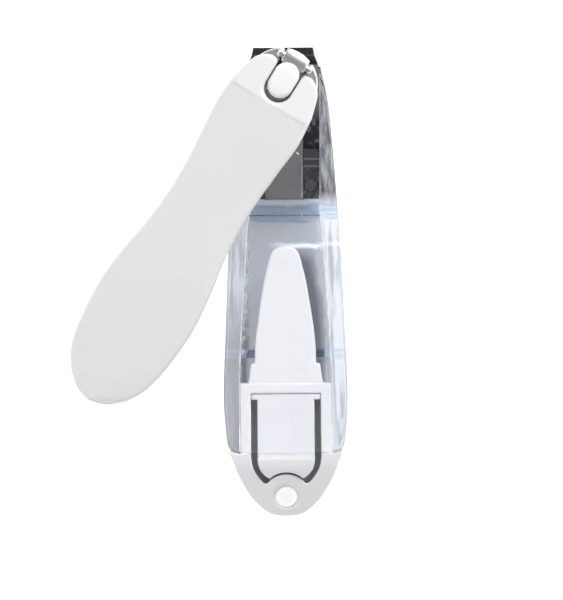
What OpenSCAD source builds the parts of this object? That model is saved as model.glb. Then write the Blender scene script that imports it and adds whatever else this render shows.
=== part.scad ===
// Toenail clipper with a clear catcher case, a swivelling covered lever and a slide-out tail plug.
// Frame: X across the jaws, Y along the body towards the cutting edge, Z up from the flat back
// of the case. The origin is on that back face, at the middle of the overall length.
// Each node is one solid piece. Lengths are in millimetres, angles in degrees.

/* [Clear case] */
// Height of the case over its back face
case_height = 10; // [8:0.1:12]
// Thickness of the back wall under the jaws and the catcher
floor_thickness = 1.3; // [1:0.1:2]
// Thickness of the front wall over the catcher
roof_thickness = 1.3; // [1:0.1:2]
// Height of the cheeks that run up beside the jaws
cheek_height = 8.2; // [7:0.1:8.4]
// Half-width between the cheeks
cheek_inner = 7.4; // [7.3:0.05:7.6]

/* [Jaws] */
// Half-width of both jaws
jaw_half_width = 7.15; // [6.5:0.05:7.2]
// Thickness of the spring steel
jaw_thickness = 1.2; // [1:0.1:1.5]
// Angle by which the upper jaw stands open at rest
jaw_open = 5.2; // [3:0.1:6]
// Distance of the cutting edges in front of the origin
edge_y = 47; // [46:0.5:48]
// Distance of the rear end of the jaws in front of the origin
jaw_rear_y = 16.6; // [16:0.1:18]
// Distance of the two rivets in front of the origin
rivet_y = 19.3; // [19:0.1:20]
// Half of the distance between the two rivets
rivet_x = 5.4; // [4.5:0.1:6]

/* [Post] */
// Distance of the post in front of the origin
post_y = 40; // [39:0.5:41]
// Radius of the post
post_radius = 1.8; // [1.5:0.1:2]
// Radius of the flat foot that holds the lower jaw
foot_radius = 3.2; // [2.8:0.1:3.4]
// Length of the pill-shaped cap
cap_length = 7.5; // [7:0.1:8]
// Width of the pill-shaped cap
cap_width = 5.1; // [4.6:0.1:5.3]
// Height of the top of the cap over the back face
cap_top = 13.4; // [13:0.1:13.8]

/* [Lever] */
// Angle by which the lever is swung out, clockwise from over the body
swing = 31.75; // [0:0.25:90]
// Radius of the pin across the lever's head, held tight in the eye of the post
pin_radius = 0.8; // [0.7:0.05:0.9]
// Distance of the pin in front of the post
pin_s = 4.4; // [4.3:0.05:4.5]
// Height of the pin over the back face
pin_z = 10; // [9.8:0.1:10.2]
// Radius of the lever's round head
head_radius = 7.2; // [7:0.1:7.4]
// Half-width of the slot around the post
slot_half = 2.85; // [2.8:0.05:3]
// Thickness of the lever's steel plate
plate_thickness = 1.2; // [1:0.1:1.5]
// Distance from the post to the end of the lever
lever_reach = 74.4; // [70:0.2:76]

/* [Tail plug] */
// Distance of the end of the tail behind the origin
tail_end = 47; // [46:0.5:48]
// Radius of the lanyard hole
lanyard_radius = 2.15; // [2:0.05:2.5]
// Distance of the lanyard hole behind the origin
lanyard_y = 43.2; // [42.5:0.1:43.5]
// Width of the slot around the latch tab
tab_slot = 1.3; // [1:0.1:1.5]

/* [Hidden] */
$fn = 64;
eps = 0.01;
// Height of the axis about which the upper jaw turns
hinge_z = 4.2;
// Height of the flat top of the lower jaw
lower_top = floor_thickness + jaw_thickness;
// Inner face of the front wall of the case
roof_z = case_height - roof_thickness;
// Case end over the plug
case_end = -34.4;
// Sideways reach used to cut right through a piece
wide = 60;

// Interpolated curve through a few points
function pick(p, i) = p[max(0, min(len(p) - 1, i))];
function bend(a, b, c, d, t) =
    0.5 * (2 * b + (c - a) * t + (2 * a - 5 * b + 4 * c - d) * t * t
    + (3 * b - a - 3 * c + d) * t * t * t);
function smooth(p, n) = concat(
    [for (i = [0:len(p) - 2], k = [0:n - 1])
        bend(pick(p, i - 1), pick(p, i), pick(p, i + 1), pick(p, i + 2), k / n)],
    [p[len(p) - 1]]);
// Closed outline from its right half, given from the rear to the front
function both_sides(p) = concat(p, [for (i = [len(p) - 1:-1:0]) [-p[i][0], p[i][1]]]);
// Points of an arc
function arc(x, y, r, a, b, n) =
    [for (i = [0:n]) [x + r * cos(a + (b - a) * i / n), y + r * sin(a + (b - a) * i / n)]];

// Turns a side profile of (y, z) points into a slab centred on the middle plane
module slab(points, half_width) {
    translate([-half_width, 0, 0])
        rotate([90, 0, 90])
            linear_extrude(2 * half_width)
                polygon(points);
}

// Puts a piece of the lever or post into its place, swung out about the post
module at_post() {
    translate([0, post_y, 0])
        rotate([0, 0, -swing])
            children();
}

// Puts a piece of the closed upper jaw into its open rest position
module opened() {
    translate([0, rivet_y, hinge_z])
        rotate([jaw_open, 0, 0])
            translate([0, -rivet_y, -hinge_z])
                children();
}

// ---------------------------------------------------------------- clear case
// The rear end is a shallow curve that the shoulder of the tail follows
case_side = concat(
    smooth([[0, case_end], [6, case_end + 0.1], [9.5, case_end + 0.5], [11.5, case_end + 1.2]], 4),
    smooth([[11.65, -32.6], [11.95, -30], [12.4, -22.5], [11.9, -9.6], [11.2, 6.4],
        [10.4, 18.4], [9.3, 32.4], [8.5, 38.4], [7.75, 41.6], [7.45, 43.4]], 5));
chamber_side = smooth([[9.4, case_end - 1], [9.35, -24], [9.1, -13], [7.7, 8], [7.2, 13.4]], 5);

module case_outside() {
    intersection() {
        linear_extrude(case_height + 1)
            polygon(both_sides(case_side));
        slab(concat(
            [[case_end, 0.7], [case_end + 0.7, 0], [42.8, 0], [43.4, 0.6]],
            smooth([[43.4, 6], [42.6, 7.4], [40.5, 8], [36, cheek_height], [29.5, 8.5],
                [24, 9.4], [18, 9.9], [12, case_height]], 4),
            [[case_end + 1.2, case_height], [case_end, case_height - 0.6]]), wide);
    }
}

module case_shell() {
    color([0.8, 0.88, 0.95, 0.35])
    difference() {
        case_outside();
        // catcher chamber, open at the rear for the plug
        translate([0, 0, floor_thickness])
            linear_extrude(roof_z - floor_thickness)
                polygon(both_sides(chamber_side));
        // way from the jaws into the chamber, under the cross beam
        translate([-7, 13, floor_thickness])
            cube([14, 3, 4.9]);
        // bay for the jaws, roofed by two side rails at its rear
        translate([-cheek_inner, 15.4, floor_thickness])
            cube([2 * cheek_inner, 30, 4.9]);
        translate([-cheek_inner, 26.5, floor_thickness])
            cube([2 * cheek_inner, 20, 10]);
        translate([-4, 15.4, floor_thickness])
            cube([8, 12, 10]);
        // notch in the back wall for the foot of the post
        translate([0, post_y, -1])
            cylinder(r = foot_radius + 0.4, h = 4);
        translate([-foot_radius - 0.4, post_y, -1])
            cube([2 * foot_radius + 0.8, 6, 4]);
        // pockets for the lower rivet heads
        for (side = [-1, 1])
            translate([side * rivet_x, rivet_y, floor_thickness - 0.8])
                cylinder(r = 1.5, h = 1);
    }
    // rib across the back wall and stop behind the jaws
    color([0.8, 0.88, 0.95, 0.35])
    for (rib = [[-15.2, 1.6, 8.9], [15.3, 1.2, 7.1]])
        translate([-rib[2], rib[0], floor_thickness])
            cube([2 * rib[2], rib[1], 0.8]);
}

// ---------------------------------------------------------------- jaws
jaw_front = [[jaw_half_width, jaw_rear_y], [jaw_half_width, 43.2], [6.8, 44.2], [6.3, 45.6],
    [6, edge_y]];

module jaw_plan() {
    translate([0, 0, -1])
        linear_extrude(12)
            polygon(both_sides(jaw_front));
}

module lower_jaw() {
    color([0.42, 0.43, 0.45])
    difference() {
        intersection() {
            jaw_plan();
            slab(concat(
                [[jaw_rear_y, floor_thickness], [40.5, floor_thickness]],
                smooth([[43, 1.4], [45.2, 1.9], [edge_y, 3.3]], 4),
                [[edge_y - 0.15, 3.42], [45.6, 3.3]],
                smooth([[44.2, 2.85], [42.6, 2.56], [41, lower_top]], 3),
                [[jaw_rear_y, lower_top]]), 8);
        }
        translate([0, post_y, 0])
            cylinder(r = post_radius + 0.08, h = 6);
        for (side = [-1, 1])
            translate([side * rivet_x, rivet_y, 0])
                cylinder(r = 0.8, h = 6);
    }
}

// Upper jaw, drawn closed and then opened about the rivets
module upper_jaw() {
    base = 3.65;
    color([0.38, 0.39, 0.41])
    opened()
    difference() {
        union() {
            intersection() {
                jaw_plan();
                slab(concat(
                    [[jaw_rear_y, base]],
                    smooth([[24, base], [30, base + 0.3], [36, base + 0.5], [42.4, base + 0.5]], 4),
                    smooth([[44.4, 4.05], [45.8, 3.6], [edge_y - 0.1, 3.55]], 3),
                    smooth([[edge_y, 3.7], [45.3, 4.75], [43.7, 5.25], [42, 5.35]], 4),
                    smooth([[36, base + 1.7], [30, base + 1.5], [24, base + 1.2]], 4),
                    [[jaw_rear_y, base + 1.2]]), 8);
            }
            // raised smooth panel with rounded front corners
            translate([0, 0, base + 1])
                linear_extrude(0.5)
                    polygon(both_sides(concat([[3.7, jaw_rear_y]],
                        arc(1.9, 24.4, 1.8, 0, 90, 6))));
        }
        translate([0, post_y + 0.1, 0])
            cylinder(r = post_radius + 0.65, h = 9);
        for (side = [-1, 1])
            translate([side * rivet_x, rivet_y, 0])
                rotate_extrude()
                    polygon([[0, 2], [0.95, 2], [0.95, 4.05], [1.5, 4.6], [1.5, 9], [0, 9]]);
    }
}

module jaw_spacers() {
    color([0.5, 0.5, 0.52])
    for (side = [-1, 1])
        translate([side * rivet_x, 0, 0])
            difference() {
                slab([[17.4, lower_top], [22, lower_top], [22, 3.55], [18.9, 3.55],
                    [17.4, 3.35]], 1.6);
                translate([0, rivet_y, 2])
                    cylinder(r = 0.8, h = 3);
            }
}

module jaw_rivets() {
    color([0.6, 0.6, 0.62])
    for (side = [-1, 1])
        translate([side * rivet_x, rivet_y, 0])
            rotate_extrude()
                polygon([[0, 0.6], [1.1, 0.6], [1.3, 0.85], [1.3, floor_thickness],
                    [0.8, floor_thickness], [0.8, 4.15], [1.25, 4.6], [1.25, 4.75],
                    [0, 4.75]]);
}

// ---------------------------------------------------------------- post and cap
module post() {
    color([0.78, 0.79, 0.8])
    at_post() {
        rotate_extrude()
            polygon([[0, 0.25], [foot_radius - 0.3, 0.25], [foot_radius, 0.5],
                [foot_radius, 1.2], [post_radius, 1.2], [post_radius, 8.2], [0, 8.2]]);
        difference() {
            union() {
                slab([[-2.9, 7.75], [4, 7.75], [4, 11.6], [3.2, 11.6], [3.2, 12.2],
                    [-3.2, 12.2], [-3.2, 8.2]], 2.1);
                slab(smooth([[3.2, 7.75], [5.2, 7.85], [6.2, 8.7], [6.5, 9.7], [6.1, 10.8],
                    [5, 11.4], [3.2, 11.5]], 4), 2.55);
            }
            translate([-4, pin_s, pin_z])
                rotate([0, 90, 0])
                    cylinder(r = pin_radius, h = 8);
        }
    }
}

// Pill-shaped cap pressed over the top of the post
module post_cap() {
    radius = cap_width / 2;
    reach = cap_length / 2 - radius;
    color([0.95, 0.95, 0.95])
    at_post()
    difference() {
        union() {
            for (level = [[11.1, 1.6, 0], [12.7, 0.4, 0.15], [13.1, 0.2, 0.45]])
                for (end = [-1, 1])
                    translate([0, end * reach, level[0]])
                        cylinder(r = radius - level[2], h = level[1]);
            for (level = [[11.1, 1.6, 0], [12.7, 0.4, 0.15], [13.1, 0.2, 0.45]])
                translate([level[2] - radius, -reach, level[0]])
                    cube([cap_width - 2 * level[2], 2 * reach, level[1]]);
            translate([-1.7, -2.8, 13.2])
                cube([3.4, 5.6, cap_top - 13.2]);
        }
        translate([-2.1, -3.2, 11])
            cube([4.2, 6.4, 1.2]);
        // room for the top of the eye in front
        translate([-3, 3.2, 11])
            cube([6, 2, 0.6]);
    }
}

// ---------------------------------------------------------------- lever
// Height of the underside of the lever's plate in the head, s in front of the post
function plate_z(s) = 8.9 + (6.6 - s) * 0.15;
// Where the head bends into the paddle, behind the post
crease_s = -5.3;
paddle_z = plate_z(crease_s);
cover_side = concat(
    smooth([[0, -lever_reach], [2.6, -lever_reach + 0.8], [6.6, -70.6], [9.35, -64.6],
        [10.55, -53.5], [9.9, -44.8], [8.55, -36.3], [8.05, -27], [8.65, -17], [9.3, -10],
        [8.8, -3.6]], 5),
    smooth([[7.75, 0], [6.3, 2.3], [4.8, 3.3], [3.4, 3.3]], 3));

// Straight-sided slot around the post, rounded behind it and open in front
module lever_slot() {
    translate([0, -1.85, 5])
        cylinder(r = slot_half, h = 12);
    translate([-slot_half, -1.85, 5])
        cube([2 * slot_half, 12, 12]);
}

module lever_plate() {
    intersection() {
        union() {
            translate([0, -0.6, 5])
                cylinder(r = head_radius, h = 12);
            translate([-5.5, -66, 5])
                cube([11, 64, 12]);
        }
        slab([[8, plate_z(8)], [crease_s, paddle_z], [-68, paddle_z],
            [-68, paddle_z + plate_thickness], [crease_s, paddle_z + plate_thickness],
            [8, plate_z(8) + plate_thickness]], 20);
    }
}

// Places its children along the pin's axis, from one side of the head to the other
module along_pin(half_length) {
    translate([-half_length, pin_s, pin_z])
        rotate([0, 90, 0])
            linear_extrude(2 * half_length)
                children();
}

module lever_core() {
    color([0.82, 0.83, 0.85])
    at_post()
    difference() {
        union() {
            lever_plate();
            along_pin(3.6)
                circle(r = 1.3);
        }
        lever_slot();
        along_pin(4)
            circle(r = pin_radius + 0.05);
    }
}

module lever_pin() {
    color([0.7, 0.71, 0.73])
    at_post()
    translate([0, pin_s, pin_z])
        rotate([0, 90, 0])
            rotate_extrude()
                polygon([[0, -3.6], [pin_radius - 0.15, -3.6], [pin_radius, -3.45],
                    [pin_radius, 3.45], [pin_radius - 0.15, 3.6], [0, 3.6]]);
}

module lever_cover() {
    color([0.95, 0.95, 0.95])
    at_post()
    difference() {
        intersection() {
            linear_extrude(20)
                polygon(both_sides(cover_side));
            slab(concat(
                [[5, plate_z(5)], [crease_s, paddle_z], [crease_s - 1, paddle_z - 0.1],
                    [-72, paddle_z - 0.1], [-lever_reach - 1, paddle_z + 0.4]],
                smooth([[-lever_reach - 1, 12.2], [-70, 12.9], [-60, 13.3], [-40, 13.7],
                    [-20, 13.8], [crease_s, 13.8]], 3),
                [[3.6, 11.8], [5, 11.4]]), wide);
        }
        lever_plate();
        lever_slot();
        along_pin(5)
            circle(r = 1.6);
        translate([-5.5, -66, 10])
            cube([11, 66 + crease_s - 0.5, paddle_z - 10 + eps]);
    }
}

// ---------------------------------------------------------------- tail plug and latch tab
tongue_side = smooth([[6.15, -16.3], [5.9, -11], [4.5, -1.4], [3.45, 3.4], [2.6, 6], [1.3, 6.95],
    [0, 7.1]], 4);
// Right half of the tail, from the middle of its shoulder round to its end
tail_side = concat(
    smooth([[0, case_end - 0.3], [6, case_end - 0.2], [9.5, case_end + 0.2],
        [11.3, case_end + 0.85]], 4),
    smooth([[11.15, -34.5], [10.6, -35.8], [9.1, -39.6], [6.6, -43.6], [3.2, -46.5],
        [0, -tail_end]], 4));
tab_root_y = -22.95;
tab_z = 7.6;
tab_r = 0.65;
tab_half = 6.34 - tab_slot / 2;
opening_half = 6.34 + tab_slot / 2;
// Sides of the tab and of its opening, from the boss of the lanyard hole forwards
tab_side = smooth([[3.1, -39.6], [4.2, -38.7], [5.3, -37.3], [tab_half, -35.7],
    [tab_half, -34]], 4);
opening_side = smooth([[3.9, -40.4], [4.5, -40.1], [5.7, -38.75], [6.6, -37.1],
    [opening_half, -35.2], [opening_half, -34]], 4);

// Plan of the latch tab or of its opening, cut round the boss of the lanyard hole
module tab_plan(side, boss_radius) {
    half = side[len(side) - 1][0];
    difference() {
        polygon(both_sides(concat([[0, side[0][1]]], side,
            [[half, -23.5], [max(half, 6.9), -23.5], [max(half, 6.9), tab_root_y]])));
        translate([0, -lanyard_y])
            circle(r = boss_radius);
    }
}

module tail_plug() {
    color([0.93, 0.94, 0.96])
    difference() {
        union() {
            // tongue that bars the catcher chamber
            translate([0, 0, 6.7])
                linear_extrude(1.5)
                    polygon(both_sides(concat([[7.4, -20.3], [7.4, -19.7], [6.95, -16.3]],
                        tongue_side)));
            // box that slides into the case
            translate([-9.15, -36, 1.5])
                cube([18.3, 15.8, roof_z - 1.7]);
            // tail outside the case
            intersection() {
                linear_extrude(case_height)
                    polygon(both_sides(tail_side));
                slab(concat([[-33, 0], [-46, 0], [-tail_end, 0.8]],
                    smooth([[-tail_end, 4.4], [-46, 5.2], [-43.2, 6.5], [-40, 7.9], [-37, 9.1],
                        [-34.7, 9.5], [-33, 9.6]], 3)), 20);
            }
        }
        // opening around the latch tab
        translate([0, 0, 3])
            linear_extrude(12)
                tab_plan(opening_side, 4.8);
        translate([-7, tab_root_y, tab_z])
            rotate([0, 90, 0])
                cylinder(r = tab_r + 0.08, h = 14);
        translate([-7, tab_root_y - 1, 3])
            cube([14, 1 + tab_r - 0.1, tab_z - 3]);
        translate([-7, tab_root_y - 1, tab_z])
            cube([14, 1.3, 3]);
        // lanyard hole with a spot face
        translate([0, -lanyard_y, -1])
            cylinder(r = lanyard_radius, h = 12);
        translate([0, -lanyard_y, 5.6])
            cylinder(r = lanyard_radius + 0.25, h = 8);
    }
}

module latch_tab() {
    color([0.95, 0.96, 0.98])
    union() {
        translate([0, 0, tab_z - tab_r])
            linear_extrude(2 * tab_r)
                tab_plan(tab_side, 5.2);
        translate([-6.9, tab_root_y, tab_z])
            rotate([0, 90, 0])
                cylinder(r = tab_r, h = 13.8);
        // press button behind the edge of the case
        intersection() {
            translate([0, 0, tab_z])
                linear_extrude(4)
                    tab_plan(tab_side, 5.2);
            slab(concat([[-34.9, tab_z]], smooth([[-34.9, 9.2], [-35.5, 9.7], [-37, 9.6],
                [-38.6, 8.9], [-40, 8.2]], 3), [[-40, tab_z]]), 20);
        }
    }
}

case_shell();
lower_jaw();
upper_jaw();
jaw_spacers();
jaw_rivets();
post();
post_cap();
lever_pin();
lever_core();
lever_cover();
tail_plug();
latch_tab();
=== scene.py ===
import math

import bmesh
import bpy
import numpy as np
from mathutils import Matrix, Vector
from mathutils.geometry import delaunay_2d_cdt


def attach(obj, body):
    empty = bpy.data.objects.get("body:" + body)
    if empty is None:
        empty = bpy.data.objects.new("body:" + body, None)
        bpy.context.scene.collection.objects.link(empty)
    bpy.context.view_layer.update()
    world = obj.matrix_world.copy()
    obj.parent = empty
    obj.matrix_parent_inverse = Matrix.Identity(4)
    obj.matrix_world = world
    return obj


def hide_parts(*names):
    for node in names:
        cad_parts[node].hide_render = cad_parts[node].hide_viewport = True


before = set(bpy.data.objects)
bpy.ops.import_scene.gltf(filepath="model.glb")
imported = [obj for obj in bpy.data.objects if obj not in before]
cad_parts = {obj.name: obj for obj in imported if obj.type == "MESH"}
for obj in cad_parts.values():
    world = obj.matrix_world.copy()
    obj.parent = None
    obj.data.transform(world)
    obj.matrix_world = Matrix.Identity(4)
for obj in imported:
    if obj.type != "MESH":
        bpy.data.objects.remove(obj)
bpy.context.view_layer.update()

# Lengths below are millimetres; meshes are written in metres.
MM = 0.001
SWING = math.radians(-31.75)
POST_Y = 40.0
JAW_OPEN = math.radians(5.2)
RIVET = (19.3, 4.2)


# ---------------------------------------------------------------- curves
def smooth(points, n):
    """A curve through a few points, with n steps between neighbours."""
    p = [np.array(q, float) for q in points]
    out = []
    for i in range(len(p) - 1):
        a, b, c, d = p[max(0, i - 1)], p[i], p[i + 1], p[min(len(p) - 1, i + 2)]
        for k in range(n):
            t = k / n
            out.append(0.5 * (2 * b + (c - a) * t + (2 * a - 5 * b + 4 * c - d) * t ** 2
                              + (3 * b - a - 3 * c + d) * t ** 3))
    return [tuple(q) for q in out] + [tuple(p[-1])]


def both_sides(right):
    return list(right) + [(-x, y) for x, y in reversed(right)]


def arc(x, y, r, a, b, n):
    return [(x + r * math.cos(math.radians(a + (b - a) * i / n)),
             y + r * math.sin(math.radians(a + (b - a) * i / n))) for i in range(n + 1)]


def circle(x, y, r, n=48):
    return arc(x, y, r, 0, 360, n)[:-1]


def step(x, a, b):
    """Smooth 0 to 1 as x goes from a to b."""
    t = np.clip((x - a) / (b - a), 0, 1)
    return t * t * (3 - 2 * t)


def along(table, n=8):
    """A smooth height as a function of position, from a few (position, height) pairs."""
    pts = sorted(smooth(sorted(table), n))
    xs, zs = [p[0] for p in pts], [p[1] for p in pts]
    return lambda x: np.interp(x, xs, zs)


def clean(loop, gap=0.02):
    """Drops repeated points from a closed outline."""
    out = []
    for p in loop:
        if not out or math.dist(p, out[-1]) > gap:
            out.append((float(p[0]), float(p[1])))
    if math.dist(out[0], out[-1]) <= gap:
        out.pop()
    return out


def area(loop):
    return sum(a[0] * b[1] - b[0] * a[1] for a, b in zip(loop, loop[1:] + loop[:1])) / 2


def split_long(loop, most):
    out = []
    for a, b in zip(loop, loop[1:] + loop[:1]):
        n = max(1, math.ceil(math.dist(a, b) / most))
        out += [(a[0] + (b[0] - a[0]) * i / n, a[1] + (b[1] - a[1]) * i / n) for i in range(n)]
    return out


def inset(loop, d):
    """The outline moved to its left by d, which is inwards for an outer loop."""
    p = np.array(loop)
    e = np.roll(p, -1, 0) - p
    e /= np.linalg.norm(e, axis=1)[:, None]
    left = np.stack([-e[:, 1], e[:, 0]], 1)
    m = left + np.roll(left, 1, 0)
    m /= np.maximum(np.linalg.norm(m, axis=1), 1e-6)[:, None]
    k = np.clip(1 / np.maximum((m * left).sum(1), 0.5), 1, 1.6)
    return p + m * (k * d)[:, None]


def inside(pts, loops):
    """Even-odd test of many points against several loops."""
    hit = np.zeros(len(pts), bool)
    x, y = pts[:, 0], pts[:, 1]
    for loop in loops:
        q = np.asarray(loop)
        for (x0, y0), (x1, y1) in zip(q, np.roll(q, -1, 0)):
            if y0 == y1:
                continue
            cross = ((y0 > y) != (y1 > y)) & (x < (x1 - x0) * (y - y0) / (y1 - y0) + x0)
            hit ^= cross
    return hit


# ---------------------------------------------------------------- solids
def turned(x, y, z):
    """From the lever's own frame (across, ahead of the post, up) to the row's."""
    c, s = math.cos(SWING), math.sin(SWING)
    return x * c - y * s, POST_Y + x * s + y * c, z


def opened(x, y, z):
    """From the closed upper jaw to its rest position."""
    c, s = math.cos(JAW_OPEN), math.sin(JAW_OPEN)
    dy, dz = y - RIVET[0], z - RIVET[1]
    return x, RIVET[0] + dy * c - dz * s, RIVET[1] + dy * s + dz * c


def plain(x, y, z):
    return x, y, z


def sideways(place, shift=0.0):
    """Plan (s, z) with thickness across: for shapes cut from a side outline."""
    return lambda a, b, t: place(t + shift, a, b)


def flat(h):
    return lambda x, y: np.full(np.shape(x), float(h))


def distance(pts, loops):
    """How far each point is from the nearest edge of the outlines."""
    a = np.concatenate([np.array(q) for q in loops])
    e = np.concatenate([np.roll(np.array(q), -1, 0) for q in loops]) - a
    out = []
    for part in np.array_split(pts, len(pts) // 1500 + 1):
        d = part[:, None] - a[None]
        t = np.clip((d * e).sum(2) / np.maximum((e * e).sum(1), 1e-12), 0, 1)
        out.append(np.hypot(*(d - t[..., None] * e).T).min(0))
    return np.concatenate(out)


def enclosed(faces, fence):
    """Which triangles lie inside the fence, found by walking in from the outer boundary."""
    touching = {}
    for i, f in enumerate(faces):
        for e in zip(f, f[1:] + f[:1]):
            touching.setdefault(frozenset(e), []).append(i)
    state = {fs[0]: e in fence for e, fs in touching.items() if len(fs) == 1}
    todo = list(state)
    while todo:
        i = todo.pop()
        f = faces[i]
        for e in zip(f, f[1:] + f[:1]):
            e = frozenset(e)
            for j in touching[e]:
                if j not in state:
                    state[j] = state[i] != (e in fence)
                    todo.append(j)
    return [state.get(i, False) for i in range(len(faces))]


def pad_mesh(loops, top, bottom, r_top=0.3, r_bottom=0.2, seg=4, grid=0.8, most=0.8,
             rows=(), place=plain):
    """A solid over a plan with holes: the top and bottom are height functions, and their edges
    are rounded by the distance from the outline. Returns vertices in millimetres and faces."""
    loops = [split_long(clean(q), most) for q in loops]
    loops = [q if (area(q) > 0) == (i == 0) else q[::-1] for i, q in enumerate(loops)]
    edge = np.array([p for q in loops for p in q])
    wires, starts = [], []
    for q in loops:
        starts.append(len(wires))
        wires += [(starts[-1] + i, starts[-1] + (i + 1) % len(q)) for i in range(len(q))]
    lo, hi = edge.min(0), edge.max(0)
    ys = list(np.arange(lo[1] + grid / 2, hi[1], grid)) + [r for r in rows if lo[1] < r < hi[1]]
    cells = np.array([(x, y) for y in ys for x in np.arange(lo[0] + grid / 2, hi[0], grid)]
                     or [(lo[0] - 1, lo[1] - 1)])
    cells = cells[inside(cells, loops)]
    verts, faces = [], []
    for low, height, r, side in ((True, bottom, r_bottom, 1), (False, top, r_top, -1)):
        radius = r if callable(r) else flat(r)
        inner = []
        if len(cells):
            d = distance(cells, loops)
            inner.append(cells[d > radius(cells[:, 0], cells[:, 1]) + 0.2 * grid])
        for k in range(1, seg + 1):
            for q in loops:
                away = radius(*np.array(q).T) * (1 - math.cos(math.pi / 2 * k / seg))
                ring = inset(q, away)
                ok = inside(ring, loops)
                ring, away = ring[ok], away[ok]
                if len(ring):
                    inner.append(ring[distance(ring, loops) > 0.96 * away])
        inner = np.concatenate(inner) if inner else np.zeros((0, 2))
        if len(inner):
            inner = inner[distance(inner, loops) > 0.004]
            gap = max(0.03, grid * 0.12)
            _, first = np.unique(np.round(inner / gap).astype(int), axis=0, return_index=True)
            inner = inner[np.sort(first)]
        pts = np.concatenate([edge, inner])
        d = np.concatenate([np.zeros(len(edge)), distance(inner, loops) if len(inner) else []])
        x, y = pts[:, 0], pts[:, 1]
        c = np.clip(1 - d / np.maximum(radius(x, y), 1e-6), 0, 1)
        z = height(x, y) + side * radius(x, y) * (1 - np.sqrt(1 - c * c))
        at = len(verts)
        verts.extend(zip(x, y, z))
        _, es, fs, orig, from_wire, _ = delaunay_2d_cdt([Vector(q) for q in pts], wires, [], 0, 1e-6)
        fence = {frozenset(e) for e, o in zip(es, from_wire) if o}
        for f, keep in zip(fs, enclosed(fs, fence)):
            if keep:
                f = [at + min(orig[i]) for i in f if orig[i]]
                faces.append(tuple(f[::-1] if low else f))
        if not low:
            faces += [(i, j, at + j, at + i) for i, j in wires]
    v = np.array(verts)
    x, y, z = place(v[:, 0], v[:, 1], v[:, 2])
    return np.stack([x, y, z], 1), faces


def lathe_mesh(profile, n=64, place=plain, closed=False):
    """A solid of revolution about Z from an (r, z) profile that starts and ends on the axis."""
    verts, faces, rings = [], [], []
    for r, z in profile:
        if r < 1e-6:
            rings.append([len(verts)])
            verts.append((0, 0, z))
        else:
            rings.append(list(range(len(verts), len(verts) + n)))
            verts += [(r * math.cos(2 * math.pi * i / n), r * math.sin(2 * math.pi * i / n), z)
                      for i in range(n)]
    pairs = list(zip(rings, rings[1:]))
    if closed:
        pairs.append((rings[-1], rings[0]))
    for lo, hi in pairs:
        for i in range(n):
            j = (i + 1) % n
            if len(lo) == 1 and len(hi) > 1:
                faces.append((lo[0], hi[j], hi[i]))
            elif len(hi) == 1 and len(lo) > 1:
                faces.append((lo[i], lo[j], hi[0]))
            elif len(lo) > 1:
                faces.append((lo[i], lo[j], hi[j], hi[i]))
    v = np.array(verts)
    x, y, z = place(v[:, 0], v[:, 1], v[:, 2])
    return np.stack([x, y, z], 1), faces


def rounded(profile, r=0.12, n=3):
    """Rounds the inner corners of an open (r, z) profile."""
    out = [profile[0]]
    for a, b, c in zip(profile, profile[1:], profile[2:]):
        a, b, c = np.array(a), np.array(b), np.array(c)
        la, lc = np.linalg.norm(a - b), np.linalg.norm(c - b)
        k = min(r, la / 2.2, lc / 2.2)
        p, q = b + (a - b) / la * k, b + (c - b) / lc * k
        for i in range(n + 1):
            t = i / n
            out.append(tuple((1 - t) ** 2 * p + 2 * t * (1 - t) * b + t ** 2 * q))
    return out + [profile[-1]]


def make(name, *meshes, smooth_angle=40):
    """One object from one or several closed meshes in millimetres."""
    bm = bmesh.new()
    for v, f in meshes:
        at = [bm.verts.new([c * MM for c in p]) for p in v]
        for face in f:
            if len(set(face)) > 2:
                try:
                    bm.faces.new([at[i] for i in face])
                except ValueError:
                    pass
    bmesh.ops.delete(bm, geom=[v for v in bm.verts if not v.link_faces], context="VERTS")
    bm.normal_update()
    mesh = bpy.data.meshes.new(name)
    bm.to_mesh(mesh)
    bm.free()
    obj = bpy.data.objects.new(name, mesh)
    bpy.context.scene.collection.objects.link(obj)
    mesh.shade_smooth()
    if smooth_angle:
        mesh.set_sharp_from_angle(angle=math.radians(smooth_angle))
    return obj


def carve(obj, *tools, operation="DIFFERENCE"):
    """Applies booleans and removes the tools."""
    for t in tools:
        m = obj.modifiers.new("carve", "BOOLEAN")
        m.operation, m.object, m.solver = operation, t, "EXACT"
    bpy.context.view_layer.update()
    dg = bpy.context.evaluated_depsgraph_get()
    new = bpy.data.meshes.new_from_object(obj.evaluated_get(dg))
    obj.modifiers.clear()
    obj.data = new
    for t in tools:
        bpy.data.objects.remove(t)
    return obj


def merged(obj, other):
    """Adds another closed mesh to an object as it is."""
    bm = bmesh.new()
    bm.from_mesh(obj.data)
    bm.from_mesh(other.data)
    bm.to_mesh(obj.data)
    bm.free()
    bpy.data.objects.remove(other)
    return obj


# ---------------------------------------------------------------- lever
def plate_z(s):
    return 8.9 + (6.6 - s) * 0.15


CREASE = -5.3
PADDLE_Z = plate_z(CREASE)

cover_right = (smooth([(0, -74.4), (2.6, -73.6), (6.58, -70.58), (9.35, -64.6), (10.55, -53.5),
                       (9.9, -44.8), (8.55, -36.3), (8.05, -27), (8.65, -17), (9.28, -10),
                       (8.8, -3.6)], 14)
               + smooth([(7.75, 0), (7.2, 1.3), (6.2, 2.4), (4.9, 3.15), (3.7, 3.2),
                         (3.05, 2.8), (2.85, 2.1)], 6))
slot_back = arc(0, -1.85, 2.85, 0, -180, 28)
cover_plan = cover_right + slot_back + [(-x, y) for x, y in reversed(cover_right)]

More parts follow.
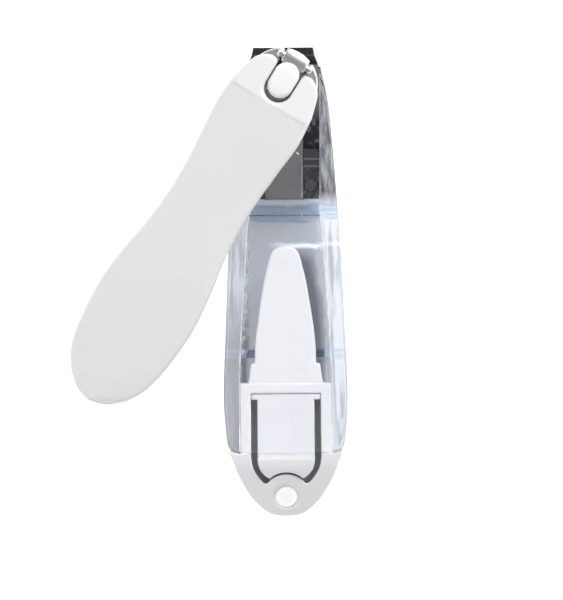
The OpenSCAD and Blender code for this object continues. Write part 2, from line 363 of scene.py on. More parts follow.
ridge = along([(-74.4, 12.5), (-70, 12.9), (-60, 13.3), (-40, 13.68), (-20, 13.76), (-5.3, 13.74)])
half_at = along([(-74.4, 1.0), (-73.6, 2.6), (-70.6, 6.6), (-64.6, 9.35), (-53.5, 10.55),
                 (-44.8, 9.9), (-36.3, 8.55), (-27, 8.05), (-17, 8.65), (-10, 9.3), (-3.6, 8.8),
                 (0, 7.75), (2.4, 6.2), (5, 5)])


def cover_top(u, s):
    """Crowned paddle that meets the forward-sloping head in a soft ridge."""
    w = np.maximum(half_at(s), 3.0)
    crown = 0.75 * np.clip(np.abs(u) / w, 0, 1.2) ** 2.2
    paddle = ridge(np.minimum(s, CREASE)) - crown
    head = 13.74 - (s - CREASE) * 0.222 - 0.42 * np.clip(np.abs(u) / 8.8, 0, 1.2) ** 2.2
    lip = 0.03 * np.exp(-((s - CREASE) / 0.35) ** 2)
    return paddle + (head - paddle) * step(s, CREASE - 0.5, CREASE + 0.35) + lip * (np.abs(u) < 8.6)


def cover_bottom(u, s):
    """Over the steel head it rests on the plate; along the paddle it is cupped round the strip."""
    over_head = step(s, CREASE - 1.2, CREASE + 0.2)
    low = np.where(s > CREASE, plate_z(s), PADDLE_Z - 0.08)
    on_plate = (np.hypot(u, s + 0.6) < 7.15) & (s > CREASE)
    tip = 0.5 * step(-s, 70, 74.4)
    return low + np.where(on_plate, 1.2, 0.0) * over_head + tip


cover = make("lever_cover_shell",
             pad_mesh([cover_plan], cover_top, cover_bottom,
                      r_top=lambda u, s: 0.5 + 0.35 * step(-s, 0, 5),
                      r_bottom=lambda u, s: 0.12 + 0.4 * step(-s, 1, 6), seg=7,
                      grid=0.8, most=0.6, place=turned,
                      rows=[CREASE + d for d in (-2.2, -1.1, -0.6, -0.35, -0.15, 0, 0.15, 0.35, 0.6)]))
strip_pocket = make("strip_pocket", pad_mesh(
    [[(-5.5, -66), (5.5, -66), (5.5, CREASE + 3), (-5.5, CREASE + 3)]],
    flat(PADDLE_Z + 1.2), flat(PADDLE_Z - 2), r_top=0.02, r_bottom=0.02, seg=1, grid=4, most=4,
    place=turned))
cover = carve(cover, strip_pocket)
cover.name = "lever_cover_shell"
cover.data.shade_smooth()
cover.data.set_sharp_from_angle(angle=math.radians(38))

# The steel head: a disc with a rolled bright rim and a dished face, cut by the slot.
rim = arc(0, -0.6, 7.2, 66.5, -48, 90)
head_right = (arc(3.35, 5.22, 0.5, 180, 70, 6) + [q for q in rim if q[0] > 3.6]
              + [(4.9, -6.2), (5.2, -6.7), (5.2, -8.5)])
head_plan = ([(2.85, -1.85)] + head_right + [(-x, y) for x, y in reversed(head_right)]
             + [(-2.85, -1.85)] + arc(0, -1.85, 2.85, 180, 360, 28)[1:-1])


def core_top(u, s):
    base = np.where(s > CREASE, plate_z(s), PADDLE_Z) + 1.2
    r = np.hypot(u, s + 0.6)
    return base - 0.3 * step(r, 6.7, 5.4) * step(s, -1.0, 1.5)


def core_bottom(u, s):
    return np.where(s > CREASE, plate_z(s), PADDLE_Z) + 0 * u


core = make("lever_plate_body", pad_mesh([head_plan], core_top, core_bottom, r_top=0.4,
                                         r_bottom=0.3, seg=7, grid=0.22, most=0.22, place=turned))
strip = pad_mesh([both_sides([(5.5, -65.4), (5.5, -8.0), (5.3, -7.8)])[::-1]],
                 flat(PADDLE_Z + 1.2), flat(PADDLE_Z), 0.2, 0.2, 3, 3, 1.5, place=turned)


def across(u0, u1, r, hole=0.0, s=4.4, z=10.0, bevel=0.12):
    """A round piece or tube along the lever's pin."""
    if hole:
        prof = [(hole, u0), (r - bevel, u0), (r, u0 + bevel), (r, u1 - bevel), (r - bevel, u1), (hole, u1)]
    else:
        prof = [(0, u0), (r - bevel, u0), (r, u0 + bevel), (r, u1 - bevel), (r - bevel, u1), (0, u1)]
    return lathe_mesh(prof, 56, lambda a, b, c: turned(c, a + s, b + z), closed=bool(hole))


knuckles = make("knuckle_tool", across(-3.9, -2.86, 1.15, bevel=0.35), across(2.86, 3.9, 1.15, bevel=0.35))
bore = make("knuckle_bore", across(-3.62, 3.62, 0.85))
core = carve(core, knuckles, operation="UNION")
core = carve(core, bore)
core = merged(core, make("under_strip", strip))
core.name = "lever_plate_body"
core.data.shade_smooth()
core.data.set_sharp_from_angle(angle=math.radians(38))

pin = make("lever_pin_body", lathe_mesh(
    rounded([(0, -3.6), (0.68, -3.6), (0.8, -3.48), (0.8, 3.48), (0.68, 3.6), (0, 3.6)], 0.1),
    48, lambda a, b, c: turned(c, a + 4.4, b + 10)))

# ---------------------------------------------------------------- post and cap
stem = lathe_mesh(rounded([(0, 0.25), (2.9, 0.25), (3.2, 0.5), (3.2, 1.2), (1.8, 1.2), (1.8, 7.9),
                           (0, 7.9)], 0.15), 72, turned)
block = pad_mesh([[(-2.9, 7.75), (4, 7.75), (4, 11.4), (3.2, 11.5), (3.18, 12.18), (-3.18, 12.18),
                   (-3.18, 8.2)]],
                 flat(2.1), flat(-2.1), 0.1, 0.1, 2, 1.5, 1.5, place=sideways(turned))
eye_plan = [(-2.55, 3.2)] + [(2.55, 3.2)] + arc(0, -0.6, 7.12, 69, 111, 16)


def eye_top(u, s):
    return along([(3.2, 11.4), (4.6, 11.35), (5.3, 11.2), (6.0, 10.95), (6.6, 10.8)])(s) + 0 * u


eye = pad_mesh([eye_plan], eye_top, lambda u, s: 7.8 + 0.9 * step(s, 5.2, 6.6), 0.4, 0.4, 7, 0.22, 0.22,
               place=turned)
post = make("post_body", block)
post = carve(post, make("post_eye", eye), make("post_stem", stem), operation="UNION")
post = carve(post, make("eye_bore", across(-4, 4, 0.81)))
post.name = "post_body"
post.data.shade_smooth()
post.data.set_sharp_from_angle(angle=math.radians(38))

pill = (arc(0, 1.2, 2.55, 0, 180, 40) + arc(0, -1.2, 2.55, 180, 360, 40))


def pill_top(u, s):
    d = np.hypot(u, np.maximum(np.abs(s) - 1.2, 0)) / 2.55
    return 13.36 - 0.55 * np.clip(d, 0, 1.1) ** 2.4


cap = make("post_cap_body", pad_mesh([pill], pill_top, flat(11.1), 0.75, 0.12, 8, 0.4, 0.3,
                                     place=turned))
cap_tools = [make("cap_pocket", pad_mesh([[(-2.1, -3.2), (2.1, -3.2), (2.1, 3.2), (-2.1, 3.2)]],
                                         flat(12.2), flat(10.5), 0.02, 0.02, 1, 2, 2, place=turned)),
             make("cap_front", pad_mesh([[(-2.9, 3.2), (2.9, 3.2), (2.9, 5), (-2.9, 5)]],
                                        flat(11.62), flat(10.5), 0.02, 0.02, 1, 2, 2, place=turned))]
cap = carve(cap, *cap_tools)
cap.name = "post_cap_body"
cap.data.shade_smooth()
cap.data.set_sharp_from_angle(angle=math.radians(38))

# ---------------------------------------------------------------- jaws
jaw_plan = both_sides([(7.15, 16.6), (7.15, 43.2), (6.8, 44.2), (6.3, 45.6), (6, 47)])
up_under = along([(16.6, 3.65), (24, 3.65), (30, 3.95), (36, 4.15), (42.4, 4.15), (44.4, 4.05),
                  (45.8, 3.6), (47, 3.56)])
up_over = along([(16.6, 4.85), (24, 4.85), (30, 5.15), (36, 5.35), (42.4, 5.35), (43.7, 5.25),
                 (45.3, 4.75), (47, 3.7)])
low_under = along([(16.6, 1.3), (30, 1.3), (40.5, 1.3), (43, 1.4), (45.2, 1.9), (47, 3.26)])
low_over = along([(16.6, 2.5), (30, 2.5), (41, 2.5), (42.6, 2.56), (44.2, 2.85), (45.6, 3.3),
                  (47, 3.41)])
panel = both_sides([(3.7, 16.6), (3.7, 24.2)] + arc(1.9, 24.4, 1.8, 0, 90, 8))
panel_mesh = pad_mesh([panel], lambda x, y: up_over(y) + 0.34 + 0 * x, lambda x, y: up_over(y) - 0.4 + 0 * x,
                      0.16, 0.05, 4, 0.8, 0.5, place=opened)


upper = make("upper_jaw_leaf", pad_mesh(
    [jaw_plan, circle(0, 40.1, 2.45)],
    lambda x, y: up_over(y) + 0 * x, lambda x, y: up_under(y) + 0 * x, 0.1, 0.1, 3, 0.5, 0.5,
    rows=[42.4, 43.0, 43.5, 45.3], place=opened))
upper = carve(upper, make("raised_panel", panel_mesh), operation="UNION")
countersink = [(0, 2), (0.95, 2), (0.95, 4.05), (1.45, 4.55), (1.45, 9), (0, 9)]
upper = carve(upper, *[make("countersink", lathe_mesh(
    countersink, 40, lambda a, b, c, k=k: opened(a + k * 5.4, b + 19.3, c))) for k in (-1, 1)])
upper.name = "upper_jaw_leaf"
upper.data.shade_smooth()
upper.data.set_sharp_from_angle(angle=math.radians(40))
lower = make("lower_jaw_leaf", pad_mesh(
    [jaw_plan, circle(0, 40, 1.88), circle(5.4, 19.3, 0.8, 32), circle(-5.4, 19.3, 0.8, 32)],
    lambda x, y: low_over(y) + 0 * x, lambda x, y: low_under(y) + 0 * x, 0.06, 0.06, 3, 0.6, 0.5))

rivet_prof = rounded([(0, 0.6), (1.1, 0.6), (1.3, 0.85), (1.3, 1.3), (0.8, 1.3), (0.8, 4.15),
                      (1.25, 4.6), (1.25, 4.75), (0, 4.75)], 0.06)
rivets = make("rivet_pair", *[lathe_mesh(rivet_prof, 40, lambda a, b, c, k=k: (a + k * 5.4, b + 19.3, c))
                              for k in (-1, 1)])
spacer_top = along([(17.4, 3.36), (18.9, 3.54), (22, 3.54)], 2)
spacers = make("spacer_pair", *[pad_mesh(
    [[(k * 5.4 - 1.6, 17.4), (k * 5.4 + 1.6, 17.4), (k * 5.4 + 1.6, 22), (k * 5.4 - 1.6, 22)],
     circle(k * 5.4, 19.3, 0.8, 32)],
    lambda x, y: spacer_top(y) + 0 * x, flat(2.5), 0.1, 0.05, 2, 0.8, 0.8) for k in (-1, 1)])

# ---------------------------------------------------------------- clear case
case_right = (smooth([(0, -34.4), (6, -34.3), (9.5, -33.9), (11.3, -33.25)], 10)
              + smooth([(11.62, -32.6), (11.95, -30), (12.4, -22.5), (11.9, -9.6), (11.2, 6.4),
                        (10.4, 18.4), (9.3, 32.4), (8.5, 38.4), (7.75, 41.6), (7.45, 43.4)], 10))
front_wall = along([(-34.4, 10), (0, 10), (12, 10), (18, 9.88), (24, 9.38), (29.5, 8.48),
                    (36, 8.18), (40.5, 7.98), (42.6, 7.38), (43.4, 6.4)])


def case_over(x, y):
    """The front wall, with a straight bevel across its rear end."""
    return front_wall(y) - 0.42 * np.clip((-33.0 - y) / 1.3, 0, 1) + 0 * x


chamber_right = smooth([(9.4, -36), (9.35, -24), (9.1, -13), (7.7, 8), (7.2, 13.4)], 10)


def boxy(x0, x1, y0, y1, z0, z1, r=0.3, grid=3.0):
    c = [(x0, y0), (x1, y0), (x1, y1), (x0, y1)]
    return pad_mesh([c], flat(z1), flat(z0), r, r, 3, grid, 1.5)


case = make("clear_case", pad_mesh([both_sides(case_right)], case_over, flat(0.0), 0.9, 0.9, 8,
                                   1.2, 0.8, rows=[-32.9, -33.0, -33.1]))


def rivet_recess(x):
    """Room in the back wall for a rivet's foot."""
    return lathe_mesh([(0, 0.5), (1.5, 0.5), (1.5, 1.6), (0, 1.6)], 32,
                      lambda a, b, c: (a + x, b + RIVET[0], c))


panel_window = both_sides([(4, 15.45), (4, 26.4), (5.2, 27.6), (5.2, 30)])
case = carve(
    case,
    make("chamber_tool", pad_mesh([both_sides(chamber_right)], flat(8.7), flat(1.3),
                                  0.35, 0.35, 5, 2, 0.5)),
    make("throat_tool", boxy(-7, 7, 12.6, 17, 1.3, 6.2)),
    make("jaw_bed_tool", boxy(-7.4, 7.4, 15.4, 47, 1.3, 6.2, 0.35)),
    make("open_front_tool", boxy(-7.4, 7.4, 26.5, 47, 1.31, 12, 0.35)),
    make("panel_window_tool", pad_mesh([panel_window], flat(12), flat(1.32), 0.3, 0.3, 3, 3, 1)),
    make("post_foot_tool", lathe_mesh([(0, -1), (3.6, -1), (3.6, 3), (0, 3)], 64,
                                      lambda a, b, c: (a, b + POST_Y, c))),
    make("foot_way_tool", boxy(-3.6, 3.6, 40, 48, -1, 3, 0.05)),
    make("right_recess_tool", rivet_recess(5.4)),
    make("left_recess_tool", rivet_recess(-5.4)))
case = carve(case,
             make("rear_rib", boxy(-9.05, 9.05, -15.2, -13.6, 1.2, 2.1, 0.25)),
             make("front_rib", boxy(-7.1, 7.1, 15.3, 16.5, 1.2, 2.1, 0.1)),
             operation="UNION")
case.name = "clear_case"
case.data.shade_smooth()
case.data.set_sharp_from_angle(angle=math.radians(38))

# ---------------------------------------------------------------- tail plug and latch tab
tongue = ([(7.4, -21.5), (7.4, -19.7), (7.25, -19.0), (6.95, -16.6), (6.7, -16.25), (6.15, -16.2)]
          + smooth([(6.1, -15.4), (5.9, -11), (4.5, -1.4), (3.45, 3.4), (2.6, 6), (1.3, 6.95), (0, 7.1)], 9))
shoulder = [q for q in smooth([(0, -34.7), (6, -34.6), (9.5, -34.2), (11.2, -33.6)], 10)
            if q[0] > 9.15]
tail_right = smooth([(11.25, -34.2), (10.6, -35.8), (9.1, -39.6), (6.6, -43.6), (3.2, -46.5),
                     (0, -47)], 12)
body_right = [(9.15, -20.2), (9.15, -34.2)] + shoulder + tail_right
body_plan = body_right[:-1] + [(0, -47)] + [(-x, y) for x, y in reversed(body_right[:-1])]
half_in = 6.34 - 0.65
half_out = 6.34 + 0.65


def tab_outline(root, curve, boss):
    """Plan of the latch tab, or of its opening: straight sides that curve in to the boss."""
    side = smooth(curve, 8)
    a = math.degrees(math.acos(side[-1][0] / boss))
    low = arc(0, -43.2, boss, a, 180 - a, 24)
    right = root + side
    return right + low[1:-1] + [(-x, y) for x, y in reversed(right)]


tab_edge = tab_outline([(6.9, -22.36), (6.9, -23.35), (6.75, -23.5), (half_in, -23.5)],
                       [(half_in, -34), (half_in, -35.7), (5.3, -37.3), (4.3, -38.6), (3.3, -39.25)],
                       5.2)
hole_edge = tab_outline([(half_out, -22.28)],
                        [(half_out, -34), (half_out, -35.2), (6.6, -37.1), (5.7, -38.75),
                         (4.7, -39.95), (4.25, -40.2), (3.85, -40.2), (3.5, -39.92)], 4.8)
tail_over = along([(-47, 4.4), (-46, 5.2), (-43.2, 6.5), (-40, 7.9), (-37, 9.1), (-34.7, 9.45),
                   (-33, 9.55)])


def plug_over(x, y):
    front = -34.55 + 0.0077 * x ** 2
    lift = step(y, front, front - 0.15)
    spot = step(np.hypot(x, y + 43.2), 2.6, 2.3)
    z = 8.48 + (tail_over(y) - 8.48) * lift
    return z + (5.62 - z) * np.minimum(spot, 0.6)


def plug_under(x, y):
    outside = (y < -34.6) | (np.abs(x) > 9.2)
    return np.where(outside, 0.8 * step(-y, 46, 47), 1.5)


body = pad_mesh([body_plan, hole_edge, circle(0, -43.2, 2.15, 56)], plug_over, plug_under,
                0.35, 0.3, 5, 0.6, 0.5, rows=[-34.42, -34.5, -34.55, -34.6, -34.65, -34.72])
pocket_floor = pad_mesh([[(-7.2, -41), (7.2, -41), (7.2, -22), (-7.2, -22)]], flat(3.0),
                        flat(1.6), 0.02, 0.02, 1, 2, 1)
tongue_part = pad_mesh([both_sides(tongue)], flat(8.18), flat(6.72), 0.45, 0.3, 5, 0.9, 0.5)
plug = make("plug_body", body, pocket_floor, tongue_part)


def tab_over(x, y):
    up = step(y, -34.85, -35.35)
    button = along([(-40, 8.3), (-38.6, 8.95), (-37, 9.55), (-35.5, 9.66), (-34.9, 9.5)])(y)
    return 8.23 + (button - 8.23) * up


tab = make("tab_body", pad_mesh([tab_edge], tab_over, flat(6.95), 0.22, 0.15, 4, 0.5, 0.45,
                                rows=[-34.8, -34.9, -35, -35.1, -35.2, -35.3, -35.4]))


# ---------------------------------------------------------------- materials
def material(name, color, rough, metal=0.0, **extra):
    """A principled surface; returns it with its node tree and shader."""
    m = bpy.data.materials.new(name)
    m.use_nodes = True
    nt = m.node_tree
    sh = nt.nodes["Principled BSDF"]
    sh.inputs["Base Color"].default_value = (*color, 1)
    sh.inputs["Roughness"].default_value = rough
    sh.inputs["Metallic"].default_value = metal
    for k, v in extra.items():
        sh.inputs[k.replace("_", " ")].default_value = v
    return m, nt, sh


def position(nt, scale=(1, 1, 1)):
    """Object position in millimetres, stretched by a scale."""
    tc = nt.nodes.new("ShaderNodeTexCoord")
    mp = nt.nodes.new("ShaderNodeMapping")
    mp.inputs["Scale"].default_value = [1000 * s for s in scale]
    nt.links.new(tc.outputs["Object"], mp.inputs["Vector"])
    return mp.outputs["Vector"]


def noise(nt, at, scale, detail=4.0, rough=0.5):
    n = nt.nodes.new("ShaderNodeTexNoise")
    n.inputs["Scale"].default_value = scale
    n.inputs["Detail"].default_value = detail
    n.inputs["Roughness"].default_value = rough
    nt.links.new(at, n.inputs["Vector"])
    return n.outputs["Fac"]


def ranged(nt, value, lo, hi, a=0.3, b=0.7):
    r = nt.nodes.new("ShaderNodeMapRange")
    r.inputs["From Min"].default_value, r.inputs["From Max"].default_value = a, b
    r.inputs["To Min"].default_value, r.inputs["To Max"].default_value = lo, hi
    nt.links.new(value, r.inputs["Value"])
    return r.outputs["Result"]


def mixed(nt, fac, one, two):
    m = nt.nodes.new("ShaderNodeMix")
    m.data_type = "RGBA"
    nt.links.new(fac, m.inputs["Factor"])
    m.inputs["A"].default_value = (*one, 1)
    m.inputs["B"].default_value = (*two, 1)
    return m.outputs["Result"]


def bumped(nt, sh, height, strength, distance):
    b = nt.nodes.new("ShaderNodeBump")
    b.inputs["Strength"].default_value = strength
    b.inputs["Distance"].default_value = distance * MM
    nt.links.new(height, b.inputs["Height"])
    nt.links.new(b.outputs["Normal"], sh.inputs["Normal"])


def white_plastic(name, light, shade, rough, grain=0.012):
    m, nt, sh = material(name, light, rough, IOR=1.5)
    p = position(nt)
    cloud = noise(nt, p, 0.07, 3)
    nt.links.new(mixed(nt, ranged(nt, cloud, 0, 1), light, shade), sh.inputs["Base Color"])
    fine = noise(nt, p, 5.0, 6, 0.6)
    smear = noise(nt, position(nt, (1, 0.25, 1)), 0.35, 5, 0.65)
    nt.links.new(ranged(nt, smear, rough - 0.05, rough + 0.09), sh.inputs["Roughness"])
    bumped(nt, sh, fine, 0.25, grain)
    sh.inputs["Subsurface Weight"].default_value = 0.12
    sh.inputs["Subsurface Radius"].default_value = (0.0012, 0.001, 0.0009)
    sh.inputs["Subsurface Scale"].default_value = 0.6
    return m


def metal(name, light, dark, rough, along_axis=(1, 1, 1), brush=0.0, spots=0.0):
    m, nt, sh = material(name, light, rough, 1.0)
    p = position(nt)
    streak = noise(nt, position(nt, along_axis), 6.0, 5, 0.6)
    cloud = noise(nt, p, 0.3, 4, 0.6)
    nt.links.new(mixed(nt, ranged(nt, cloud, 0, 1), light, dark), sh.inputs["Base Color"])
    nt.links.new(ranged(nt, streak, max(0.02, rough - 0.06 - brush), rough + 0.07 + brush),
                 sh.inputs["Roughness"])
    if brush or spots:
        bumped(nt, sh, streak, 0.3, 0.006 + spots)
    return m


m_cover = white_plastic("lever_white", (0.71, 0.712, 0.712), (0.69, 0.694, 0.697), 0.34)
m_cap = white_plastic("cap_white", (0.85, 0.85, 0.85), (0.83, 0.83, 0.835), 0.2)
m_plug = white_plastic("plug_white", (0.75, 0.75, 0.765), (0.725, 0.725, 0.742), 0.36)
m_tab = white_plastic("tab_white", (0.73, 0.73, 0.755), (0.705, 0.705, 0.735), 0.36)
m_chrome = metal("chrome_bright", (0.74, 0.74, 0.75), (0.66, 0.665, 0.68), 0.17)
m_post = metal("post_bright", (0.74, 0.74, 0.75), (0.66, 0.665, 0.68), 0.17)
m_pin = metal("pin_ground", (0.7, 0.7, 0.71), (0.6, 0.6, 0.62), 0.2, (1, 1, 0.2), 0.04)
m_jaw_low = metal("jaw_steel_lower", (0.30, 0.305, 0.315), (0.23, 0.235, 0.245), 0.24, (3, 0.25, 1), 0.05)
# Rivet steel is painted far darker than steel: painted shade to match the dark strips of the upper jaw.
m_rivet = metal("rivet_steel", (0.13, 0.13, 0.135), (0.09, 0.09, 0.095), 0.3, (1, 1, 1), 0.05, 0.004)
m_spacer = metal("spacer_steel", (0.42, 0.42, 0.43), (0.33, 0.33, 0.35), 0.4, (1, 1, 4), 0.05, 0.004)


def calc(nt, kind, *values):
    """A math node over numbers and other nodes' outputs."""
    m = nt.nodes.new("ShaderNodeMath")
    m.operation = kind
    for i, v in enumerate(values):
        if isinstance(v, (int, float)):
            m.inputs[i].default_value = v
        else:
            nt.links.new(v, m.inputs[i])
    return m.outputs[0]


def product(nt, *factors):
    """Multiplies several masks together."""
    out = factors[0]
    for f in factors[1:]:
        out = calc(nt, "MULTIPLY", out, f)
    return out


def band(nt, value, lo, hi, soft):
    """One between lo and hi, falling to nothing over a soft edge."""
    return product(nt, ranged(nt, value, 0, 1, lo - soft, lo),
                   ranged(nt, value, 1, 0, hi, hi + soft))


def over(nt, fac, under, colour):
    """Lays a colour over another by a factor."""
    m = nt.nodes.new("ShaderNodeMix")
    m.data_type = "RGBA"
    nt.links.new(fac, m.inputs["Factor"])
    nt.links.new(under, m.inputs["A"])
    m.inputs["B"].default_value = (*colour, 1)
    return m.outputs["Result"]


def axes(nt, at):
    """The three parts of a position."""
    xyz = nt.nodes.new("ShaderNodeSeparateXYZ")
    nt.links.new(at, xyz.inputs[0])
    return xyz.outputs


def clear_plastic(name):
    """Clear plastic with painted shade, reflections and highlights: streaks, bands, dark edges and a light
    bar are tones laid at fixed places.
    """
    m, nt, sh = material(name, (0.98, 0.985, 1.0), 0.03, IOR=1.49)
    sh.inputs["Transmission Weight"].default_value = 1.0
    p = position(nt)
    x, y, z = axes(nt, p)
    wide = calc(nt, "ABSOLUTE", x)
    wave = noise(nt, position(nt, (1, 0.6, 1)), 0.16, 3)
    wavy = calc(nt, "MULTIPLY_ADD", wave, 2.4, calc(nt, "SUBTRACT", y, 1.2))
    back = ranged(nt, z, 1, 0, 1.6, 2.6)

    # The back wall is painted darker than the front one. This painted shade stands in for the shade and dark
    # reflections seen through the case. The right rail is painted lighter as a painted highlight, and the
    # lower left rail darker as painted shade.
    tone = mixed(nt, back, (0.985, 0.99, 1.0), (0.44, 0.46, 0.50))
    right_rail = ranged(nt, calc(nt, "MULTIPLY_ADD", y, 0.067, x), 0, 1, 7.8, 8.5)
    tone = over(nt, product(nt, back, right_rail), tone, (0.52, 0.54, 0.58))
    left_low = product(nt, back, ranged(nt, x, 1, 0, -8.2, -7.2), ranged(nt, y, 1, 0, -14, 0))
    tone = over(nt, left_low, tone, (0.2, 0.21, 0.23))

    # Long dark streaks are painted down both rails, as painted dark reflections in the clear rails.
    rails = ranged(nt, calc(nt, "MULTIPLY_ADD", y, 0.067, wide), 0, 1, 7.8, 8.5)
    run = noise(nt, position(nt, (1, 0.06, 1)), 0.9, 3)
    run = product(nt, ranged(nt, run, 0, 1, 0.48, 0.6), ranged(nt, y, 1, 0, 8.0, 14.0), rails, back)
    tone = over(nt, run, tone, (0.24, 0.25, 0.28))

    # A soft dark curve follows the right edge of the tongue: the tongue's painted shadow on the back wall.
    along_x = calc(nt, "POWER", calc(nt, "DIVIDE", x, 6.1), 2.0)
    along_y = calc(nt, "POWER", calc(nt, "DIVIDE", calc(nt, "ADD", y, 16.0), 23.1), 2.0)
    ring = calc(nt, "SQRT", calc(nt, "ADD", along_x, along_y))
    shade = product(nt, ranged(nt, ring, 1, 0, 1.12, 1.45), ranged(nt, x, 0, 1, 1.0, 3.0),
                    ranged(nt, y, 1, 0, 4.0, 8.0), back)
    tone = over(nt, shade, tone, (0.15, 0.16, 0.19))

    # A painted highlight lies across the front of the tongue, weaker over the rail.
    off_rail = calc(nt, "SUBTRACT", 1.0, calc(nt, "MULTIPLY", right_rail, 0.7))
    gleam = product(nt, band(nt, wavy, 7.3, 7.6, 0.6), back, ranged(nt, x, 0, 1, -3.5, 1.5), off_rail)
    tone = over(nt, gleam, tone, (0.86, 0.88, 0.92))

    # Blue-grey bands lie over the two ribs of the back wall: partly the ribs' own blue tint, partly painted
    # shade for the refraction at their edges.
    low_rib = calc(nt, "MULTIPLY", band(nt, wavy, -15.3, -13.6, 0.4), 0.55)
    rib = calc(nt, "MAXIMUM", band(nt, wavy, 12.6, 15.2, 0.5), low_rib)
    ribbon = noise(nt, position(nt, (0.22, 1.5, 1)), 0.9, 3)
    rib = product(nt, rib, back, ranged(nt, ribbon, 0.3, 1, 0.42, 0.56))
    tone = over(nt, rib, tone, (0.25, 0.34, 0.48))

    # The cheeks beside the jaws are painted streaky and dark, as painted dark reflections in the clear
    # walls.
    streak = noise(nt, position(nt, (1, 0.16, 1)), 0.9, 4)
    beside = product(nt, ranged(nt, wide, 0, 1, 6.9, 7.5), ranged(nt, y, 0, 1, 14.5, 18.0),
                     ranged(nt, streak, 0.5, 1, 0.42, 0.58))
    tone = over(nt, beside, tone, (0.09, 0.092, 0.098))

    # Walls that stand on edge are painted darker: painted shade for the dark lines that refraction draws
    # along edges.
    geo = nt.nodes.new("ShaderNodeNewGeometry")
    facing = axes(nt, geo.outputs["Normal"])
    wall = ranged(nt, calc(nt, "ABSOLUTE", facing["Z"]), 1, 0, 0.35, 0.8)
    tone = over(nt, wall, tone, (0.46, 0.475, 0.51))
    nt.links.new(tone, sh.inputs["Base Color"])
    ripple = noise(nt, position(nt, (1, 0.55, 1)), 0.22, 3, 0.5)
    haze = noise(nt, p, 0.5, 4, 0.6)
    nt.links.new(ranged(nt, haze, 0.015, 0.06), sh.inputs["Roughness"])
    bumped(nt, sh, ripple, 0.22, 0.5)
    # Lamps shine through the walls, so the plug inside is as bright as the rest.
    rays = nt.nodes.new("ShaderNodeLightPath")
    through = nt.nodes.new("ShaderNodeBsdfTransparent")
    through.inputs["Color"].default_value = (0.885, 0.89, 0.895, 1)
    mix = nt.nodes.new("ShaderNodeMixShader")
    nt.links.new(rays.outputs["Is Shadow Ray"], mix.inputs[0])
    nt.links.new(sh.outputs[0], mix.inputs[1])
    nt.links.new(through.outputs[0], mix.inputs[2])
    nt.links.new(mix.outputs[0], nt.nodes["Material Output"].inputs["Surface"])
    vol = nt.nodes.new("ShaderNodeVolumeAbsorption")
    vol.inputs["Color"].default_value = (0.6, 0.7, 0.9, 1)
    vol.inputs["Density"].default_value = 8.0
    nt.links.new(vol.outputs["Volume"], nt.nodes["Material Output"].inputs["Volume"])
    return m


def jaw_steel(name):
    """Polished panel; beside it dark strips of painted shade with lighter painted blotches and painted
    highlight lines, and at the tip a painted dark band and a nose darkened as painted shade.
    """
    m, nt, sh = material(name, (0.4, 0.405, 0.415), 0.2, 1.0)
    p = position(nt)
    x, y, z = axes(nt, p)
    cloud = noise(nt, p, 0.3, 4, 0.6)
    tone = mixed(nt, ranged(nt, cloud, 0, 1), (0.42, 0.425, 0.435), (0.36, 0.365, 0.375))
    # Dark strips beside the panel are painted shade, for shadowed metal seen through the clear case.
    wide = ranged(nt, calc(nt, "ABSOLUTE", x), 0, 1, 3.78, 3.9)
    strip = product(nt, wide, ranged(nt, y, 1, 0, 32.0, 36.0))
    tone = over(nt, strip, tone, (0.062, 0.062, 0.065))
    # Lighter painted blotches on the strips stand for light refracted through the rippled clear wall.
    painted_blotches = noise(nt, position(nt, (1, 0.7, 1)), 0.75, 3, 0.6)
    tone = over(nt, product(nt, strip, ranged(nt, painted_blotches, 0, 1, 0.56, 0.62)), tone, (0.24, 0.24, 0.25))
    # Two thin lighter lines across the strips are painted highlights.
    cross = calc(nt, "MAXIMUM", band(nt, y, 24.3, 24.5, 0.12), band(nt, y, 22.9, 23.1, 0.12))
    tone = over(nt, product(nt, strip, cross), tone, (0.3, 0.3, 0.31))
    # The ground nose and the band behind it are painted near black: painted shade and dark reflection that
    # hold back the lamp's glint.
    tone = over(nt, ranged(nt, y, 0, 1, 45.2, 45.4), tone, (0.05, 0.05, 0.052))
    tone = over(nt, band(nt, y, 43.5, 45.2, 0.15), tone, (0.05, 0.05, 0.052))
    nt.links.new(tone, sh.inputs["Base Color"])
    streak = noise(nt, position(nt, (3, 0.25, 1)), 6.0, 5, 0.6)
    nt.links.new(ranged(nt, streak, 0.12, 0.3), sh.inputs["Roughness"])
    bumped(nt, sh, streak, 0.3, 0.006)
    return m


m_jaw = jaw_steel("jaw_steel")
m_clear = clear_plastic("case_clear")

for obj, mat, body, nodes, slot in [
        (case, m_clear, "housing", ["case_shell"], "clear"),
        (lower, m_jaw_low, "housing", ["lower_jaw"], "steel_dark"),
        (upper, m_jaw, "jaw", ["upper_jaw"], "steel_dark"),
        (spacers, m_spacer, "housing", ["jaw_spacers"], "steel_rivet"),
        (rivets, m_rivet, "housing", ["jaw_rivets"], "steel_rivet"),
        (post, m_post, "post", ["post"], "chrome"),
        (cap, m_cap, "post", ["post_cap"], "white_cap"),
        (pin, m_pin, "post", ["lever_pin"], "chrome"),
        (core, m_chrome, "lever", ["lever_core"], "chrome"),
        (cover, m_cover, "lever", ["lever_cover"], "white_lever"),
        (plug, m_plug, "plug", ["tail_plug"], "white_plug"),
        (tab, m_tab, "tab", ["latch_tab"], "white_plug")]:
    obj.data.materials.clear()
    obj.data.materials.append(mat)
    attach(obj, body)
    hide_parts(*nodes)

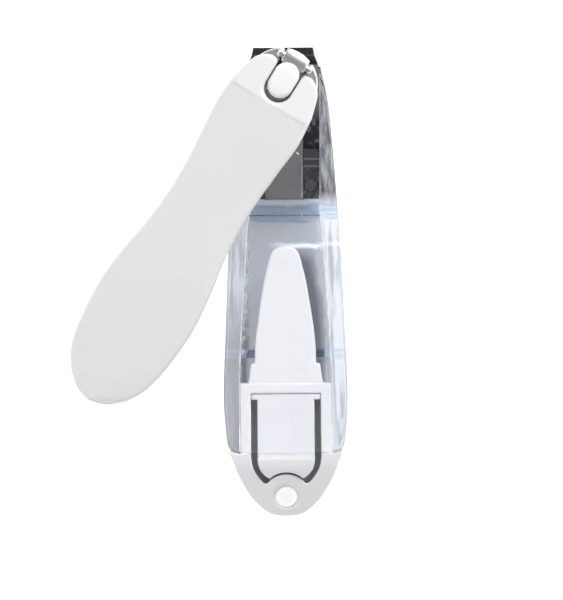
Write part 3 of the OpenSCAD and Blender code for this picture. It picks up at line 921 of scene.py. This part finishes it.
# ---------------------------------------------------------------- floor, light and camera
bpy.ops.mesh.primitive_plane_add(size=6.0, location=(0, 0, -0.0002))
floor = bpy.context.active_object
floor.name = "studio_floor"
m_floor, nt, sh = material("floor_white", (0.93, 0.93, 0.93), 0.6, Emission_Strength=0.55)
sh.inputs["Emission Color"].default_value = (1, 1, 1, 1)
grain = noise(nt, position(nt), 0.02, 2)
nt.links.new(mixed(nt, ranged(nt, grain, 0, 1), (0.93, 0.93, 0.93), (0.925, 0.925, 0.925)),
             sh.inputs["Base Color"])
floor.data.materials.append(m_floor)

world = bpy.data.worlds.new("studio")
bpy.context.scene.world = world
world.use_nodes = True
wt = world.node_tree
background = wt.nodes["Background"]
background.inputs["Strength"].default_value = 0.62
# Bright round the horizon and dim overhead, so flat metal looks dark.
direction = wt.nodes.new("ShaderNodeTexCoord")
parts = wt.nodes.new("ShaderNodeSeparateXYZ")
wt.links.new(direction.outputs["Generated"], parts.inputs[0])
wt.links.new(mixed(wt, ranged(wt, parts.outputs["Z"], 0, 1, 0.8, 0.97), (1.0, 1.0, 1.0),
                   (0.62, 0.62, 0.63)), background.inputs["Color"])


def lamp(name, at, size, energy, aim=(0, 0, 0.005), size_y=None, color=(1, 1, 1)):
    d = bpy.data.lights.new(name, "AREA")
    d.energy, d.size, d.color = energy, size, color
    if size_y:
        d.shape, d.size_y = "RECTANGLE", size_y
    o = bpy.data.objects.new(name, d)
    bpy.context.scene.collection.objects.link(o)
    o.location = at
    o.rotation_mode = "QUATERNION"
    o.rotation_quaternion = (Vector(aim) - Vector(at)).to_track_quat("-Z", "Y")
    return o


lamp("key_front", (0.5, 0.65, 0.5), 0.5, 6.4)
lamp("fill_left", (-0.7, -0.15, 0.55), 0.5, 2.4)
lamp("fill_right", (0.75, 0.1, 0.4), 0.4, 0.9)

cam_data = bpy.data.cameras.new("camera")
cam = bpy.data.objects.new("camera", cam_data)
bpy.context.scene.collection.objects.link(cam)
bpy.context.scene.camera = cam
WIDTH = 120 * MM
DISTANCE = 0.7
cam_data.sensor_width = 36
cam_data.lens = 36 * (DISTANCE - 0.007) / WIDTH
cam_data.clip_start, cam_data.clip_end = 0.05, 10
# The view is square on from above, turned by under half a degree.
tilt = math.radians(0.4486)
centre = Vector((-0.7 * MM, -3.6 * MM, 0.007))
cam.matrix_world = (Matrix.Translation(centre + Vector((0, 0, DISTANCE - 0.007)))
                    @ Matrix.Rotation(-tilt, 4, "Z"))
scene = bpy.context.scene
scene.view_settings.view_transform = "Standard"
scene.view_settings.exposure = 0.0
scene.cycles.max_bounces = 16
scene.cycles.transmission_bounces = 14
scene.cycles.caustics_refractive = True
scene.cycles.transparent_max_bounces = 12

bpy.context.view_layer.update()
